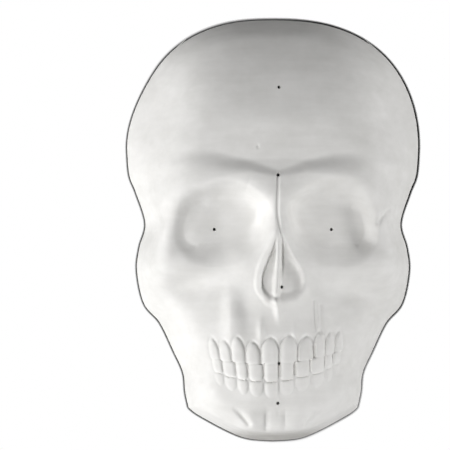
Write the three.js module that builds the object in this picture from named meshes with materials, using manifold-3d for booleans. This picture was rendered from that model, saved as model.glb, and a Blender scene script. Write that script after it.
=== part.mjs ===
// A mould for draping glass: the face of a skull, slip-cast as one shell of white bisque.
// It lies face up on its rim, and is hollow and open underneath.
// Millimetres: X runs across the face, Y from chin to crown, Z up from the rim.
// Sides are named as the face is seen from above, so left is -X.

import * as THREE from "three";
import { mergeVertices } from "three/addons/utils/BufferGeometryUtils.js";
import Module from "manifold-3d";

// Outline
const faceLength = 215.8;
const craniumHalfWidth = 74.9;
const craniumWidestY = 42;
const craniumSquareness = 2.4;
const waistHalfWidth = 65.5;
const waistY = 3.5;
const cheekHalfWidth = 69.8;
const cheekY = -21;
const jawHalfWidth = 45;
const jawAboveChin = 24.9;

// Shell
const wall = 5.5;
const lipHeight = 6;
const rimBevel = 3.6;
const foreheadHeight = 42.5;
const ventDiameter = 1.6;

// Brow
const browCrestY = 32;
const browRise = 4.4;

// Eye sockets
const socketX = 32.5;
const socketY = 3;
const socketDepth = 5;
const eyeHalfWidth = 15.5;
const eyeHalfHeight = 12.3;
const eyeRise = 1.4;

// Nose
const noseTopY = -0.5;
const noseBaseAboveBite = 30.6;
const noseMiddleX = 0.5;
const noseHalfWidth = 13.8;
const noseRise = 9.2;
const noseDepth = 5;
const septumHalfWidth = 2;
// The left half of the opening is narrower than the right one, by this factor
const leftNarrowing = 1.5;

// Cheekbones
const cheekboneX = 50;
const cheekboneY = -17;
const cheekboneRise = 3.4;

// Teeth, as widths and heights from the middle outwards
const biteAboveChin = 40.3;
const biteTilt = 0.06;
const biteCurve = 0.0042;
const midlineX = 0.4;
const toothRelief = 1.5;
const upperHeights = [13.4, 11.3, 12.8, 9.6, 8];
const upperWidthsLeft = [9.5, 7.6, 7.3, 5.8, 5];
const upperWidthsRight = [9.4, 7.9, 6.8, 4.6, 4.2];
const lowerHeights = [9.8, 9.2, 8.6, 8, 7];
const lowerWidthsLeft = [8.2, 7.4, 5.6, 5.9, 5.2];
const lowerWidthsRight = [8.4, 7.3, 7.4, 4.2, 4];

// How finely the two faces of the shell are divided
const columnBands = [[0.34, 15], [0.32, 24], [0.34, 15]];
const rowBands = [[0.3, 11], [0.2, 12], [0.18, 18], [0.06, 4], [0.17, 20], [0.09, 7]];
const hollowCoarseness = 2;
const ventSides = 10;

const crownY = faceLength / 2;
const chinY = -faceLength / 2;
const jawY = chinY + jawAboveChin;
const biteY = chinY + biteAboveChin;
const noseBaseY = biteY + noseBaseAboveBite;
const ventRadius = ventDiameter / 2;

// Shaping functions

// 0 before `from`, 1 after `to`, and smooth between them
function ease(from, to, value) {
  const t = THREE.MathUtils.clamp((value - from) / (to - from), 0, 1);
  return t * t * (3 - 2 * t);
}

// A round swelling, 1 at its centre
function swell(x, y, centreX, centreY, radiusX, radiusY, turn = 0) {
  const c = Math.cos(THREE.MathUtils.degToRad(turn));
  const s = Math.sin(THREE.MathUtils.degToRad(turn));
  const u = ((x - centreX) * c + (y - centreY) * s) / radiusX;
  const v = ((y - centreY) * c - (x - centreX) * s) / radiusY;
  return Math.exp(-(u * u + v * v));
}

// How far out a point lies in an oval: 0 at its centre, 1 on its edge
function ovalShare(x, y, centreX, centreY, halfWidth, halfHeight, squareness) {
  const u = Math.abs(x - centreX) / halfWidth;
  const v = Math.abs(y - centreY) / halfHeight;
  return (u ** squareness + v ** squareness) ** (1 / squareness);
}

// A smooth run of values through stations [position, value], listed upwards
function runThrough(stations) {
  const last = stations.length - 1;
  const slopes = stations.map((station, i) => {
    const before = stations[Math.max(i - 1, 0)];
    const after = stations[Math.min(i + 1, last)];
    return (after[1] - before[1]) / (after[0] - before[0]);
  });
  return (position) => {
    let i = 0;
    while (i < last - 1 && position > stations[i + 1][0]) i += 1;
    const step = stations[i + 1][0] - stations[i][0];
    const t = THREE.MathUtils.clamp((position - stations[i][0]) / step, 0, 1);
    const rise = t * t * (3 - 2 * t);
    const bend = slopes[i] * t * (1 - t) ** 2 - slopes[i + 1] * t * t * (1 - t);
    return stations[i][1] * (1 - rise) + stations[i + 1][1] * rise + bend * step;
  };
}

// The nearest place on a line: its distance, its share of the line, and the side of it, +1 at the right
function nearest(line, x, y) {
  let distance = Infinity;
  let share = 0;
  let side = 1;
  for (let i = 0; i < line.length - 1; i += 1) {
    const dx = line[i + 1].x - line[i].x;
    const dy = line[i + 1].y - line[i].y;
    const along = ((x - line[i].x) * dx + (y - line[i].y) * dy) / (dx * dx + dy * dy);
    const t = THREE.MathUtils.clamp(along, 0, 1);
    const found = Math.hypot(x - line[i].x - t * dx, y - line[i].y - t * dy);
    if (found < distance) {
      distance = found;
      share = (i + t) / (line.length - 1);
      side = dx * (y - line[i].y) - dy * (x - line[i].x) > 0 ? -1 : 1;
    }
  }
  return { distance, share, side };
}

// A smooth open line through points [x, y]
function lineThrough(points, steps) {
  const spline = new THREE.SplineCurve(points.map(([x, y]) => new THREE.Vector2(x, y)));
  return spline.getSpacedPoints(steps);
}

// A soft-edged mark along a line, 1 on the line
function stroke(line, x, y, halfWidth) {
  return Math.exp(-((nearest(line, x, y).distance / halfWidth) ** 2));
}

// Outline of the face

// The cranium from the crown, at angle 0, to its widest place
class CraniumArc extends THREE.Curve {
  constructor(from, to) {
    super();
    this.from = from;
    this.to = to;
  }

  getPoint(t) {
    const angle = THREE.MathUtils.lerp(this.from, this.to, t);
    const across = Math.max(Math.sin(angle), 0) ** (2 / craniumSquareness);
    const up = Math.max(Math.cos(angle), 0) ** (2 / craniumSquareness);
    const rise = crownY - craniumWidestY;
    return new THREE.Vector2(craniumHalfWidth * across, craniumWidestY + rise * up);
  }
}

const jawCorner = new THREE.Vector2(jawHalfWidth - 1.7, jawY - 8);
const sideCurve = new THREE.SplineCurve([
  new THREE.Vector2(craniumHalfWidth, craniumWidestY),
  new THREE.Vector2(craniumHalfWidth - 1.1, craniumWidestY - 13.5),
  new THREE.Vector2(waistHalfWidth + 4.7, waistY + 15.5),
  new THREE.Vector2(waistHalfWidth, waistY),
  new THREE.Vector2(cheekHalfWidth - 1.2, cheekY + 12),
  new THREE.Vector2(cheekHalfWidth, cheekY),
  new THREE.Vector2(cheekHalfWidth - 3.6, cheekY - 16.5),
  new THREE.Vector2(cheekHalfWidth - 11.8, cheekY - 26.5),
  new THREE.Vector2(jawHalfWidth + 6, jawY + 21),
  new THREE.Vector2(jawHalfWidth + 1.1, jawY + 10),
  new THREE.Vector2(jawHalfWidth, jawY),
  jawCorner,
]);
const chinCurve = new THREE.SplineCurve([
  jawCorner,
  new THREE.Vector2(jawHalfWidth - 6.8, chinY + 13),
  new THREE.Vector2(jawHalfWidth - 22.4, chinY + 4.6),
  new THREE.Vector2(jawHalfWidth - 32.5, chinY + 1),
  new THREE.Vector2(0, chinY),
]);
const crownCurve = new CraniumArc(0, Math.PI / 4);
const flankCurve = new THREE.CurvePath();
flankCurve.add(new CraniumArc(Math.PI / 4, Math.PI / 2));
flankCurve.add(sideCurve);

// The right half of the outline, from the crown down to the chin
const halfOutline = [
  ...crownCurve.getSpacedPoints(24),
  ...flankCurve.getSpacedPoints(90).slice(1),
  ...chinCurve.getSpacedPoints(20).slice(1),
];

// Relief of the face. `a` is the distance from the middle of the face, where both sides are alike.

const frontHeight = runThrough([
  [chinY, foreheadHeight - 13.5],
  [chinY + 13, foreheadHeight - 9],
  [biteY - 12, foreheadHeight - 5.5],
  [biteY + 8, foreheadHeight - 3],
  [noseBaseY, foreheadHeight - 4.5],
  [noseTopY - 9.5, foreheadHeight - 5.5],
  [noseTopY + 10.5, foreheadHeight - 3.5],
  [browCrestY, foreheadHeight - 0.6],
  [browCrestY + 12, foreheadHeight],
  [crownY, foreheadHeight],
]);
const edgeRoll = runThrough([
  [chinY, 16], [jawY, 17], [biteY + 8, 18], [cheekY, 16],
  [waistY, 18], [browCrestY, 30], [browCrestY + 23, 44], [crownY - 23, 56], [crownY, 60],
]);
// How quickly the rise slackens: fuller at the face, and an even slope at the crown
const fullness = runThrough([[chinY, 3], [browCrestY, 2.8], [browCrestY + 23, 2.5], [crownY, 2.4]]);
// How much of the rise is in the steep bevel along the rim
const rimShare = runThrough([
  [chinY, 0.5], [chinY + 8, 0.46], [jawY, 0.26], [biteY + 8, 0.1], [cheekY, 0.06], [crownY, 0.1],
]);
const sideFall = runThrough([
  [chinY, 7], [chinY + 13, 13], [jawY, 24], [biteY + 8, 25], [cheekY - 24, 20],
  [cheekY, 11], [waistY, 9], [browCrestY, 7], [crownY - 28, 6], [crownY, 5],
]);

// The plain head: a dome that rises from the lip and falls away to both sides
function head(a, y, inset) {
  const templeX = craniumHalfWidth - 13;
  const roll = edgeRoll(y) + 14 * ease(templeX, 10, a) * ease(browCrestY, crownY - 38, y);
  const curve = 1 - (1 - THREE.MathUtils.clamp(inset / roll, 0, 1)) ** fullness(y);
  const steep = rimBevel + 7 * ease(cheekY, browCrestY + 23, y);
  const bevel = THREE.MathUtils.clamp(inset / steep, 0, 1);
  const dome = rimShare(y) * bevel * (2 - bevel) + (1 - rimShare(y)) * curve;
  const top = frontHeight(y) - lipHeight - sideFall(y) * (a / 60) ** 2;
  const across = ease(templeX - 24, templeX + 4, a) * ease(templeX + 24, templeX + 4, a);
  const temple = 3.2 * ease(waistY + 4, browCrestY, y) * ease(crownY - 8, crownY - 53, y) * across;
  return lipHeight + top * dome - temple;
}

// The rim of a socket, from the bridge of the nose over the roof and back along the cheekbone
const socketRim = lineThrough([
  [socketX - 28, socketY + 1],
  [socketX - 28.5, socketY + 10],
  [socketX - 22.5, socketY + 16.5],
  [socketX - 13, socketY + 22.5],
  [socketX - 2, socketY + 24],
  [socketX + 7, socketY + 22.4],
  [socketX + 14, socketY + 18],
  [socketX + 19, socketY + 10.5],
  [socketX + 20.8, socketY + 2],
  [socketX + 20.4, socketY - 7],
  [socketX + 18.3, socketY - 13.5],
  [socketX + 13.5, socketY - 19],
  [socketX + 7, socketY - 21.2],
  [socketX, socketY - 21.8],
  [socketX - 7, socketY - 21.3],
  [socketX - 13.5, socketY - 19.4],
  [socketX - 19.5, socketY - 15.8],
  [socketX - 24.5, socketY - 9.5],
  [socketX - 27.2, socketY - 4],
  [socketX - 28, socketY + 1],
], 60);
// Its wall from the bridge over the roof and back along the cheekbone: how wide it is, how sharply
// it turns down at the rim, and how sharply it meets the floor
const socketWall = runThrough([
  [0, 12], [0.1, 11], [0.2, 16], [0.34, 17], [0.46, 11], [0.6, 9], [0.7, 11], [0.86, 13], [1, 12],
]);
const rimTurn = runThrough([
  [0, 0.3], [0.08, 1.3], [0.2, 1.3], [0.3, 0], [0.62, 0], [0.72, 1], [0.86, 0.8], [1, 0.3],
]);
const floorTurn = runThrough([[0, 0], [0.4, 0], [0.5, 0.9], [0.62, 0.9], [0.74, 0], [1, 0]]);

// A socket: walls that sweep down to a floor, which swells under the closed eye
function socket(a, y) {
  const { distance, share, side } = nearest(socketRim, a, y);
  const eye = ovalShare(a, y, socketX - 1.5, socketY - 2.5, eyeHalfWidth, eyeHalfHeight, 2.1);
  const lid = Math.max(0, 1 - (eye / 1.15) ** 2) ** 1.2;
  const down = THREE.MathUtils.clamp((distance * side) / socketWall(share), 0, 1);
  const turned = rimTurn(share) * down * (1 - down) ** 2 - floorTurn(share) * down * down * (1 - down);
  const deepest = socketDepth * (1 + (0.2 * (a - socketX)) / eyeHalfWidth);
  const depth = deepest * (1 - 0.4 * ease(socketY - 2, socketY - 18, y));
  return eyeRise * lid - depth * (ease(0, 1, down) + turned);
}

const bridgeHalfWidth = runThrough([
  [noseBaseY - 13, 14], [noseBaseY, 16], [noseBaseY + 12, 16], [noseTopY - 11.5, 12.5],
  [noseTopY - 1.5, 9.5], [noseTopY + 8.5, 7.5], [browCrestY - 10, 9.5], [browCrestY + 8, 16],
]);
const bridgeRise = runThrough([
  [noseBaseY - 18, 0], [noseBaseY - 5, 2], [noseBaseY + 5, 5.2], [noseBaseY + 17, 7],
  [noseTopY - 7.5, noseRise - 0.8], [noseTopY, noseRise], [noseTopY + 10.5, 7],
  [browCrestY - 8, 2.2], [browCrestY + 4, 0],
]);

// The bridge of the nose and its flanks
function bridge(a, y) {
  const ridge = Math.exp(-((a / bridgeHalfWidth(y)) ** 2.6));
  const flank = 2.2 * swell(a, y, noseHalfWidth + 3, noseTopY - 15.5, 7, 10, 20);
  return bridgeRise(y) * ridge + flank + 2.6 * swell(a, y, 0, browCrestY - 13, 9, 9);
}

// Cheekbones, with the hollow below each
function cheek(a, y) {
  const bone = cheekboneRise * swell(a, y, cheekboneX, cheekboneY, 17, 9, -10);
  const arch = 2.8 * swell(a, y, cheekboneX + 8, cheekboneY + 14, 6, 13);
  return bone + arch - 4.6 * swell(a, y, cheekboneX - 3, cheekboneY - 21, 15, 7.5, 18);
}

// The middle of the step from the forehead up to the crest of the brow
const browLine = lineThrough([
  [0, browCrestY - 3.4],
  [socketX - 29.5, browCrestY - 2.4],
  [socketX - 21.5, browCrestY - 0.5],
  [socketX - 16.5, browCrestY + 0.8],
  [socketX - 1.5, browCrestY + 1.2],
  [socketX + 7.5, browCrestY],
  [socketX + 13.5, browCrestY - 3],
  [socketX + 18.5, browCrestY - 8],
  [socketX + 22.4, browCrestY - 15.5],
  [socketX + 24, browCrestY - 24],
], 40);
const browStep = runThrough([[0, 2], [0.2, 3.4], [0.4, 6], [0.6, 7.5], [0.75, 6.5], [1, 3]]);
const browHeight = runThrough([[0, 0.35], [0.2, 0.72], [0.4, 1.05], [0.6, 1.2], [0.78, 1.05], [1, 0.3]]);

// The brow: a broad step up from the forehead to a crest, rounding over into the socket
function brow(a, y) {
  const { distance, share, side } = nearest(browLine, a, y);
  const below = distance * side;
  return browRise * browHeight(share) * ease(-1, 1, below / browStep(share)) * (1 - ease(4, 18, below));
}

// The opening of the nose, pear shaped
const noseLength = noseTopY - noseBaseY;
const pearHalf = [
  [0, 0], [0.2, 0.07], [0.35, 0.18], [0.55, 0.32], [0.76, 0.45], [0.93, 0.58],
  [1, 0.7], [0.95, 0.82], [0.78, 0.92], [0.5, 0.98], [0, 1],
].map(([across, down]) => [across * noseHalfWidth, noseTopY - down * noseLength]);
const pear = lineThrough(pearHalf, 30);
const septum = lineThrough([
  [noseMiddleX - 0.2, noseTopY + 1],
  [noseMiddleX - 0.4, noseTopY - noseLength * 0.4],
  [noseMiddleX - 0.8, noseTopY - noseLength * 0.6],
  [noseMiddleX - 1.7, noseTopY - noseLength * 0.85],
], 8);
const noseSpine = lineThrough([[-1.2, noseBaseY + 1], [0, noseBaseY - 3], [0.8, noseBaseY - 12]], 4);

// Depth inside the opening, with its raised lip, the septum down its middle and the spine under it.
// The left side is deepest along its wall and the right side along the septum.
function nostrils(x, y) {
  const right = ease(-1, 1, x - noseMiddleX);
  const narrowing = leftNarrowing + (1 - leftNarrowing) * right;
  const { distance, side } = nearest(pear, Math.abs(x - noseMiddleX) * narrowing, y);
  const inside = Math.max(distance * side, 0);
  const down = THREE.MathUtils.clamp((noseTopY - y) / noseLength, 0, 1);
  const lipMiddle = 3 * (1 - right);
  const lipWidth = 2 + 1.6 * (1 - right);
  const lip = (1 - 0.4 * ease(0.85, 1, down)) * Math.exp(-(((distance * side + lipMiddle) / lipWidth) ** 2));
  const beyond = nearest(septum, x, y).distance - septumHalfWidth * (1 - 0.5 * down);
  const openness = inside / (inside + Math.max(beyond, 0) + 0.5);
  const leftFloor = (1 - 0.6 * openness) * ease(-0.8, 1.6, beyond);
  const rightFloor = (0.45 + 0.55 * openness) * ease(-0.5, 0.9, beyond);
  const wallWidth = 1.4 + 2.2 * right + 4 * ease(0.75, 1, down);
  const depth = noseDepth * (1 - 0.5 * down) * ease(0, 1, inside / wallWidth);
  const spine = 2.4 * stroke(noseSpine, x, y, 1.8) * ease(noseBaseY - 13, noseBaseY, y);
  return lip - depth * (leftFloor * (1 - right) + rightFloor * right) + spine;
}

// The upper jaw: the crest by the cheek, the hollow beside the canine and the swelling over the arch
function upperJaw(a, y) {
  const crest = 3.2 * swell(a, y, 23.4, noseBaseY - 4, 4.6, 15);
  const hollow = 0.7 * swell(a, y, 16.8, noseBaseY - 5, 3.8, 10);
  const root = 1.1 * swell(a, y, 9.6, noseBaseY - 12, 2.4, 8);
  return crest - hollow + swell(a, y, 0, biteY + 5, 30, 14) + root;
}

// The bank at the outer side of the hollow beside the chin
const chinBank = lineThrough([[23, chinY + 19], [18, chinY + 14.5], [13, chinY + 7.5]], 6);

// The lower jaw: its corners, the chin's border, and the strip down its middle with a hollow at each side
function lowerJaw(a, y) {
  const corner = 2.4 * swell(a, y, 33, jawY - 1, 10, 9, 35) - 2.2 * swell(a, y, 38, jawY - 5, 5.5, 5.5);
  const border = 2 * swell(a, y, 0, chinY + 9, 24, 6);
  const { distance, side } = nearest(chinBank, a, y);
  const within = distance * side;
  const hollow = 1.5 * ease(-0.8, 1.2, within) * ease(14, 2, within) * ease(3, 5.2, a);
  const bank = 0.5 * Math.exp(-(((within + 1.8) / 1.6) ** 2));
  const reach = ease(chinY + 4.5, chinY + 8, y) * ease(chinY + 21, chinY + 15, y);
  return corner + border + (bank - hollow) * reach;
}

function biteLine(x) {
  return biteY + biteTilt * x + biteCurve * x * x;
}

// One tooth: square at the bite, round at the gum, with its root showing past the gum
function tooth(across, fromBite, width, height, relief) {
  const half = height / 2;
  const u = Math.abs(across) / (width / 2);
  const v = Math.abs(fromBite - half) / half;
  const body = fromBite > half ? u ** 2.4 + v ** 2.3 : u ** 3.2 + v ** 5;
  const crown = relief * Math.sqrt(Math.max(0, 1 - body));
  const past = ease(height * 1.9, height, fromBite) * ease(half, height, fromBite);
  const root = 0.5 * relief * Math.exp(-((Math.abs(across) / (width * 0.36)) ** 2.2)) * past;
  return Math.max(crown, root);
}

// A quarter of the teeth. `side` is -1 at the left, `jaw` is +1 for the upper row.
function toothRow(x, y, side, jaw, widths, heights, lean) {
  const fromBite = jaw * (y - biteLine(x));
  let start = 0;
  return widths.reduce((relief, width, i) => {
    const centre = start + width / 2 + jaw * lean * i * (fromBite - heights[i] / 2);
    start += width;
    const across = side * (x - midlineX) - centre;
    return Math.max(relief, tooth(across, fromBite, width, heights[i], toothRelief * (1 - 0.06 * i)));
  }, 0);
}

function teeth(x, y) {
  return Math.max(
    toothRow(x, y, -1, 1, upperWidthsLeft, upperHeights, 0.05),
    toothRow(x, y, 1, 1, upperWidthsRight, upperHeights, 0),
    toothRow(x, y, -1, -1, lowerWidthsLeft, lowerHeights, 0.04),
    toothRow(x, y, 1, -1, lowerWidthsRight, lowerHeights, 0),
  );
}

// The seam between the bones of the nose, from the brow to the opening
const noseSeam = lineThrough([
  [-0.5, browCrestY - 4],
  [-0.7, browCrestY - 14],
  [-0.6, noseTopY + 8.5],
  [0.5, noseTopY + 1],
  [1.6, noseTopY - 2.5],
], 12);

// Height of the big masses, which both faces of the shell follow
function masses(x, y, inset) {
  const a = Math.abs(x);
  return head(a, y, inset) + (socket(a, y) + bridge(a, y) + cheek(a, y)) * ease(0, 9, inset);
}

// Height of the face that the glass is draped on
function faceHeight(x, y) {
  const a = Math.abs(x);
  const { distance: inset } = nearest(halfOutline, a, y);
  const carving = brow(a, y) + nostrils(x, y) + upperJaw(a, y) + lowerJaw(a, y) + teeth(x, y);
  return masses(x, y, inset) + (carving - 0.8 * stroke(noseSeam, x, y, 0.8)) * ease(0, 9, inset);
}

// Height of the hollow: the masses alone, softened as the slip left them, and a wall's thickness lower
function hollowHeight(x, y) {
  const reach = 4;
  const middleY = (noseTopY + noseBaseY) / 2 - 4;
  const insetAt = (dx, dy) => nearest(halfOutline, Math.abs(x + dx), y + dy).distance;
  const surface = (dx, dy) => {
    const dish = ovalShare(x + dx, y + dy, 0, middleY, noseHalfWidth, noseLength / 2, 2);
    return masses(x + dx, y + dy, insetAt(dx, dy)) - noseDepth * (1 - ease(0.2, 1.5, dish));
  };
  const plain = (dx, dy) => head(Math.abs(x + dx), y + dy, insetAt(dx, dy));
  const slopeX = (plain(reach, 0) - plain(-reach, 0)) / (2 * reach);
  const slopeY = (plain(0, reach) - plain(0, -reach)) / (2 * reach);
  const around = surface(reach, 0) + surface(-reach, 0) + surface(0, reach) + surface(0, -reach);
  return (2 * surface(0, 0) + around) / 6 - wall * Math.min(Math.hypot(1, slopeX, slopeY), 1.8);
}

// Solids

// Shares from 0 to 1 in bands of [length, steps]
function spread(bands, coarseness) {
  const shares = [0];
  const total = bands.reduce((sum, [length]) => sum + length, 0);
  bands.forEach(([length, count]) => {
    const steps = Math.max(1, Math.round(count / coarseness));
    const from = shares.at(-1);
    for (let i = 1; i <= steps; i += 1) shares.push(from + (length * i) / (steps * total));
  });
  return shares;
}

// The same shares with a narrow step more at each end, where the face rounds down to the lip
function withLip(shares) {
  const narrow = 0.35;
  const first = shares[1] * narrow;
  const final = 1 - (1 - shares.at(-2)) * narrow;
  return [0, first, ...shares.slice(1, -1), final, 1];
}

// The outline as a loop, clockwise from the left crown corner, moved inwards by `inset`
function outlineLoop(across, down, inset) {
  const mirror = (point) => new THREE.Vector2(-point.x, point.y);
  const over = (curve, share) => {
    const point = curve.getPointAt(Math.abs(1 - 2 * share));
    return share < 0.5 ? mirror(point) : point;
  };
  const chinPoint = (share) => over({ getPointAt: (t) => chinCurve.getPointAt(1 - t) }, share);
  const loop = [
    ...across.slice(0, -1).map((share) => over(crownCurve, share)),
    ...down.slice(0, -1).map((share) => flankCurve.getPoint(share)),
    ...across.slice(1).reverse().map((share) => chinPoint(share)),
    ...down.slice(1).reverse().map((share) => mirror(flankCurve.getPoint(share))),
  ];
  return loop.map((point, i) => {
    const before = loop.at(i - 1);
    const after = loop[(i + 1) % loop.length];
    const inward = new THREE.Vector2(after.y - before.y, before.x - after.x).normalize();
    return point.clone().addScaledVector(inward, inset);
  });
}

// A solid whose top follows `height` inside the outline and whose flat bottom is at `bottom`.
// `across` and `down` are the shares at which its top is divided.
function castSolid(across, down, inset, height, bottom) {
  const loop = outlineLoop(across, down, inset);
  const wide = across.length - 1;
  const tall = down.length - 1;
  const crown = (i) => loop[i];
  const right = (j) => loop[wide + j];
  const chin = (i) => loop[wide + tall + (wide - i)];
  const left = (j) => loop[(2 * wide + tall + (tall - j)) % loop.length];

  const positions = [];
  const index = [];
  const grid = across.map(() => []);
  for (let i = 0; i <= wide; i += 1) {
    for (let j = 0; j <= tall; j += 1) {
      const u = across[i];
      const v = down[j];
      const ends = crown(i).clone().multiplyScalar(1 - v).addScaledVector(chin(i), v);
      const sides = left(j).clone().multiplyScalar(1 - u).addScaledVector(right(j), u);
      const upper = left(0).clone().multiplyScalar(1 - u).addScaledVector(right(0), u);
      const lower = left(tall).clone().multiplyScalar(1 - u).addScaledVector(right(tall), u);
      const corners = upper.multiplyScalar(1 - v).addScaledVector(lower, v);
      const place = ends.add(sides).sub(corners);
      grid[i].push(positions.length / 3);
      positions.push(place.x, place.y, height(place.x, place.y));
    }
  }
  const at = (vertex) => new THREE.Vector3().fromArray(positions, 3 * vertex);
  for (let i = 0; i < wide; i += 1) {
    for (let j = 0; j < tall; j += 1) {
      const [a, b, c, d] = [grid[i][j], grid[i][j + 1], grid[i + 1][j + 1], grid[i + 1][j]];
      const shorter = at(a).distanceTo(at(c)) < at(b).distanceTo(at(d));
      index.push(...(shorter ? [a, b, c, a, c, d] : [a, b, d, b, c, d]));
    }
  }

  const rim = [
    ...grid.slice(0, -1).map((column) => column[0]),
    ...grid[wide].slice(0, -1),
    ...grid.slice(1).reverse().map((column) => column[tall]),
    ...grid[0].slice(1).reverse(),
  ];
  const foot = positions.length / 3;
  rim.forEach((vertex) => positions.push(at(vertex).x, at(vertex).y, bottom));
  rim.forEach((vertex, i) => {
    const next = (i + 1) % rim.length;
    index.push(vertex, rim[next], foot + next, vertex, foot + next, foot + i);
  });
  const flat = rim.map((vertex) => new THREE.Vector2(at(vertex).x, at(vertex).y));
  THREE.ShapeUtils.triangulateShape(flat, []).forEach((triangle) => {
    const [a, b, c] = triangle.map((corner) => flat[corner]);
    const turn = (b.x - a.x) * (c.y - a.y) - (b.y - a.y) * (c.x - a.x);
    const facingDown = turn > 0 ? [0, 2, 1] : [0, 1, 2];
    index.push(...facingDown.map((corner) => foot + triangle[corner]));
  });
  const geometry = new THREE.BufferGeometry();
  geometry.setAttribute("position", new THREE.Float32BufferAttribute(positions, 3));
  geometry.setIndex(index);
  return geometry;
}

const wasm = await Module();
wasm.setup();

function toSolid(geometry) {
  geometry.deleteAttribute("normal");
  geometry.deleteAttribute("uv");
  const merged = mergeVertices(geometry);
  return new wasm.Manifold(new wasm.Mesh({
    numProp: 3,
    vertProperties: merged.attributes.position.array,
    triVerts: new Uint32Array(merged.index.array),
  }));
}

function toGeometry(solid) {
  const { vertProperties, triVerts } = solid.getMesh();
  const geometry = new THREE.BufferGeometry();
  geometry.setAttribute("position", new THREE.BufferAttribute(vertProperties, 3));
  geometry.setIndex(new THREE.BufferAttribute(triVerts, 1));
  geometry.computeVertexNormals();
  return geometry;
}

// Vents let the air out from under the glass, where it would be trapped, and are drilled by hand
const vents = [
  [0.9, crownY - 35],
  [-0.2, browCrestY - 3.8],
  [0.6 - socketX, socketY - 2.5],
  [socketX - 4.6, socketY - 2.5],
  [1.9, noseBaseY + 8.2],
  [0.6, biteY],
  [0.2, chinY + 20],
];

function ventDrill([x, y]) {
  const reach = foreheadHeight + noseRise + wall;
  const drill = new THREE.CylinderGeometry(ventRadius, ventRadius, reach, ventSides);
  drill.rotateX(Math.PI / 2);
  drill.translate(x, y, reach / 2);
  return toSolid(drill);
}

function mouldShell() {
  const fine = [columnBands, rowBands].map((bands) => withLip(spread(bands, 1)));
  const coarse = [columnBands, rowBands].map((bands) => spread(bands, hollowCoarseness));
  const outside = castSolid(...fine, 0, faceHeight, 0);
  const hollow = castSolid(...coarse, wall, hollowHeight, -wall);
  const shell = toSolid(outside).subtract(toSolid(hollow));
  return vents.reduce((solid, place) => solid.subtract(ventDrill(place)), shell);
}

const bisque = new THREE.MeshStandardMaterial({ color: 0xe8e6e3, roughness: 0.92, metalness: 0 });
bisque.name = "white_bisque";

const mould = new THREE.Mesh(toGeometry(mouldShell()), bisque);
mould.name = "mould_shell";

const group = new THREE.Group();
group.name = "skull_drape_mould";
group.add(mould);

export default group;
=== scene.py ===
import math

import bpy
import numpy as np
from mathutils import Matrix, Vector


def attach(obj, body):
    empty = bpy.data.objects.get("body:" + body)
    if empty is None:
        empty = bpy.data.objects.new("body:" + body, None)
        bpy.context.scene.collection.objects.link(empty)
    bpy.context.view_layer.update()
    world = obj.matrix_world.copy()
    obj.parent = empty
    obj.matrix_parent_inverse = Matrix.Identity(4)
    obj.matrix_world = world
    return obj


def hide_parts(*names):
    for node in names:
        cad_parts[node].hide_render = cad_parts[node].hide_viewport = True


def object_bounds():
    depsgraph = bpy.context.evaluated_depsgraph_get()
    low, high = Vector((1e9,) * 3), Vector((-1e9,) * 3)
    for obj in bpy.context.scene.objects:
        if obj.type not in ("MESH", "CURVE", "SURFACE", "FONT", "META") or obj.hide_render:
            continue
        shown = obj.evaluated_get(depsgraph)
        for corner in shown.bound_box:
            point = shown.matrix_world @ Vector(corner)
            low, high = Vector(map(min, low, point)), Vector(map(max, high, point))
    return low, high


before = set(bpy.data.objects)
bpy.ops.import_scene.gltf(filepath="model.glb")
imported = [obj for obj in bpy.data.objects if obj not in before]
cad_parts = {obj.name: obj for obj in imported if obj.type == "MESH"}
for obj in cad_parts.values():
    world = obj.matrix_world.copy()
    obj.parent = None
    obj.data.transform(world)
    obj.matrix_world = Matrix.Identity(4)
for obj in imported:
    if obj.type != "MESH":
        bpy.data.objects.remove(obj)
cad_low, cad_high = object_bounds()

# The mould is one slip-cast shell, so it is one piece here: the face that the glass is draped on,
# the hollow under it, and the vents drilled through. The relief is worked out in millimetres.
MM = 0.001

# Taken from the frame
CROWN_Y = cad_high.y / MM
CHIN_Y = cad_low.y / MM
CRANIUM_HALF_WIDTH = cad_high.x / MM
FULL_HEIGHT = cad_high.z / MM

# Outline
CRANIUM_WIDEST_Y = 42
CRANIUM_SQUARENESS = 2.4
# By what share the cranium's top is narrower than that outline, at the left and at the right
LEFT_DRAW = 0.064
RIGHT_DRAW = 0.014
WAIST_HALF_WIDTH = 65.5
WAIST_Y = 3.5
CHEEK_HALF_WIDTH = 69.8
CHEEK_Y = -21
JAW_HALF_WIDTH = 45
JAW_Y = CHIN_Y + 24.9

# Shell
WALL = 5.5
# Under a slope the wall is this many times taller at most, so that it stays as thick
STEEPEST = 1.8
# The hollow's forms are evened out over this distance
SOFTENING_REACH = 4
LIP_HEIGHT = 6
LIP_ROUND = 0.7
RIM_BEVEL = 3.6
FOREHEAD_HEIGHT = 42.5
TEMPLE_DEPTH = 3.2
# How steeply the head turns down outside the line along each temple, and how gently it turns
HINGE_SLOPE = 0.2
HINGE_ROUND = 2.5
VENT_DIAMETER = 1.6

# Brow
BROW_CREST_Y = 32
BROW_RISE = 4.4
# Where the crest falls away into the socket, from the middle of its step
BROW_FALL_START = 4
BROW_FALL_END = 18
# By what share the left brow reaches further out
LEFT_BROW_REACH = 0.13

# Eye sockets
SOCKET_X = 32.5
SOCKET_Y = 3
SOCKET_DEPTH = 5
# How much narrower the outer wall is than the rest of the wall would make it
LEFT_OUTER_LOSS = 3.8
RIGHT_OUTER_LOSS = 1.5
EYE_HALF_WIDTH = 15.5
EYE_HALF_HEIGHT = 12.3
EYE_RISE = 0.8

# Nose
NOSE_TOP_Y = -0.5
NOSE_MIDDLE_X = 0.5
NOSE_HALF_WIDTH = 13.8
NOSE_RISE = 9.2
NOSE_DEPTH = 5.6
SEPTUM_HALF_WIDTH = 1.8
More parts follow.
